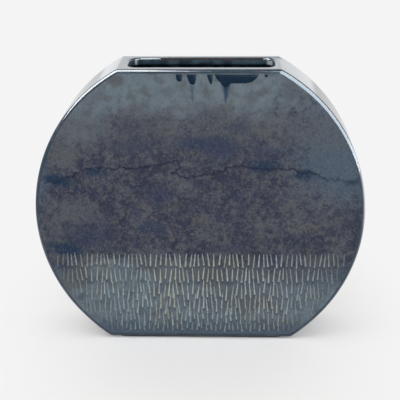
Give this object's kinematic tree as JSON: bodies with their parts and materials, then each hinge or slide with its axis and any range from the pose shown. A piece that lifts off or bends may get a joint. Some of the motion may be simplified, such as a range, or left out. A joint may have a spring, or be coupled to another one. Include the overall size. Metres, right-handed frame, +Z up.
{
  "type": "pillow vase",
  "caption": "Flat round slab-built ceramic vase with a sliced top and base, a slot-shaped mouth and a low unglazed foot.",
  "frame": {"origin": "bottom centre, on the surface the foot ring stands on", "axes": "+X along the width towards the vase's right seen from the front, +Y from the front face towards the back, +Z up"},
  "size_m": [0.23, 0.05, 0.1971],
  "materials": {
    "face_glaze": "glossy reactive glaze over incised clay",
    "edge_glaze": "glossy reactive glaze",
    "inner_glaze": "satin dark liner glaze",
    "bare_clay": "unglazed dark stoneware"
  },
  "bodies": {
    "root": {"front_slab": "face_glaze", "back_slab": "face_glaze", "left_side_strip": "edge_glaze", "right_side_strip": "edge_glaze", "base_slab": "edge_glaze", "top_slab": "edge_glaze", "foot_ring": "bare_clay", "left_front_coil": "inner_glaze", "left_back_coil": "inner_glaze", "right_front_coil": "inner_glaze", "right_back_coil": "inner_glaze", "base_front_coil": "inner_glaze", "base_back_coil": "inner_glaze", "base_left_coil": "inner_glaze", "base_right_coil": "inner_glaze", "top_front_coil": "inner_glaze", "top_back_coil": "inner_glaze"}
  },
  "joints": []
}
